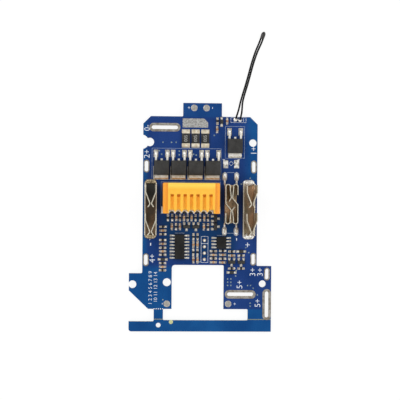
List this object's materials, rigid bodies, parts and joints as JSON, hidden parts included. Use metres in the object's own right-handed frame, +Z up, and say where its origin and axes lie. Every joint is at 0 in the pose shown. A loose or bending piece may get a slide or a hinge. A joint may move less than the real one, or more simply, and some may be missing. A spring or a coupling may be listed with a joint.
{
  "type": "battery management board",
  "caption": "Routed blue circuit board with blade and charge terminals, slotted yellow connector, power transistors, control chips and a thermistor on loose leads.",
  "frame": {"origin": "middle of the board's overall outline, at the tips of the solder points that it lies on; the thermistor and its leads are not counted", "axes": "+Z up from the component side, +Y towards the head of the board where the thermistor leaves, +X to the right"},
  "size_m": [0.057, 0.1205, 0.0115],
  "materials": {
    "solder_mask": "satin blue solder mask over laminate",
    "tinned_copper": "tinned copper, uneven",
    "solder": "bright soldered joint",
    "spring_sheet": "tinned copper alloy sheet, half bright",
    "moulding_black": "moulded epoxy, fine grain",
    "ceramic_black": "glazed resistor film",
    "capacitor_tan": "plain fired ceramic",
    "connector_yellow": "moulded nylon, light sheen",
    "connector_white": "moulded nylon",
    "lead_insulation": "black insulation",
    "bead_epoxy": "dipped black resin"
  },
  "bodies": {
    "root": {"charge_terminal": "spring_sheet", "charge_terminal_solder": "solder", "chip_capacitor_ends": "solder", "chip_capacitors": "capacitor_tan", "chip_resistor_ends": "solder", "chip_resistors": "ceramic_black", "circuit_board": "solder_mask", "connector_base": "connector_white", "connector_contacts": "tinned_copper", "connector_cover": "connector_yellow", "connector_solder": "solder", "controller_chip": "moulding_black", "controller_chip_leads": "tinned_copper", "driver_chip": "moulding_black", "driver_chip_leads": "tinned_copper", "header_plugs": "solder", "lamp_pads": "solder", "lead_pads": "tinned_copper", "negative_terminal": "spring_sheet", "negative_terminal_solder": "solder", "positive_terminal": "spring_sheet", "positive_terminal_solder": "solder", "power_transistor_1_body": "moulding_black", "power_transistor_1_leads": "tinned_copper", "power_transistor_2_body": "moulding_black", "power_transistor_2_leads": "tinned_copper", "power_transistor_3_body": "moulding_black", "power_transistor_3_leads": "tinned_copper", "power_transistor_4_body": "moulding_black", "power_transistor_4_leads": "tinned_copper", "power_transistor_5_body": "moulding_black", "power_transistor_5_leads": "tinned_copper", "shunt_resistor_1": "ceramic_black", "shunt_resistor_2": "ceramic_black", "shunt_resistor_3": "ceramic_black", "shunt_resistor_ends": "solder", "signal_diode_leads": "tinned_copper", "signal_diodes": "moulding_black", "slot_lining_head": "tinned_copper", "slot_lining_leg": "tinned_copper", "slot_lining_lower_left": "tinned_copper", "slot_lining_lower_right": "tinned_copper", "slot_lining_upper_left": "tinned_copper", "slot_lining_upper_right": "tinned_copper", "slot_lining_wing": "tinned_copper", "slot_lining_wing_long": "tinned_copper", "small_transistor_leads": "tinned_copper", "small_transistors": "moulding_black", "spare_pads": "tinned_copper", "thermistor_bead": "bead_epoxy", "thermistor_lead_left": "lead_insulation", "thermistor_lead_right": "lead_insulation", "thermistor_solder": "solder", "tinned_plane": "tinned_copper"}
  },
  "joints": []
}
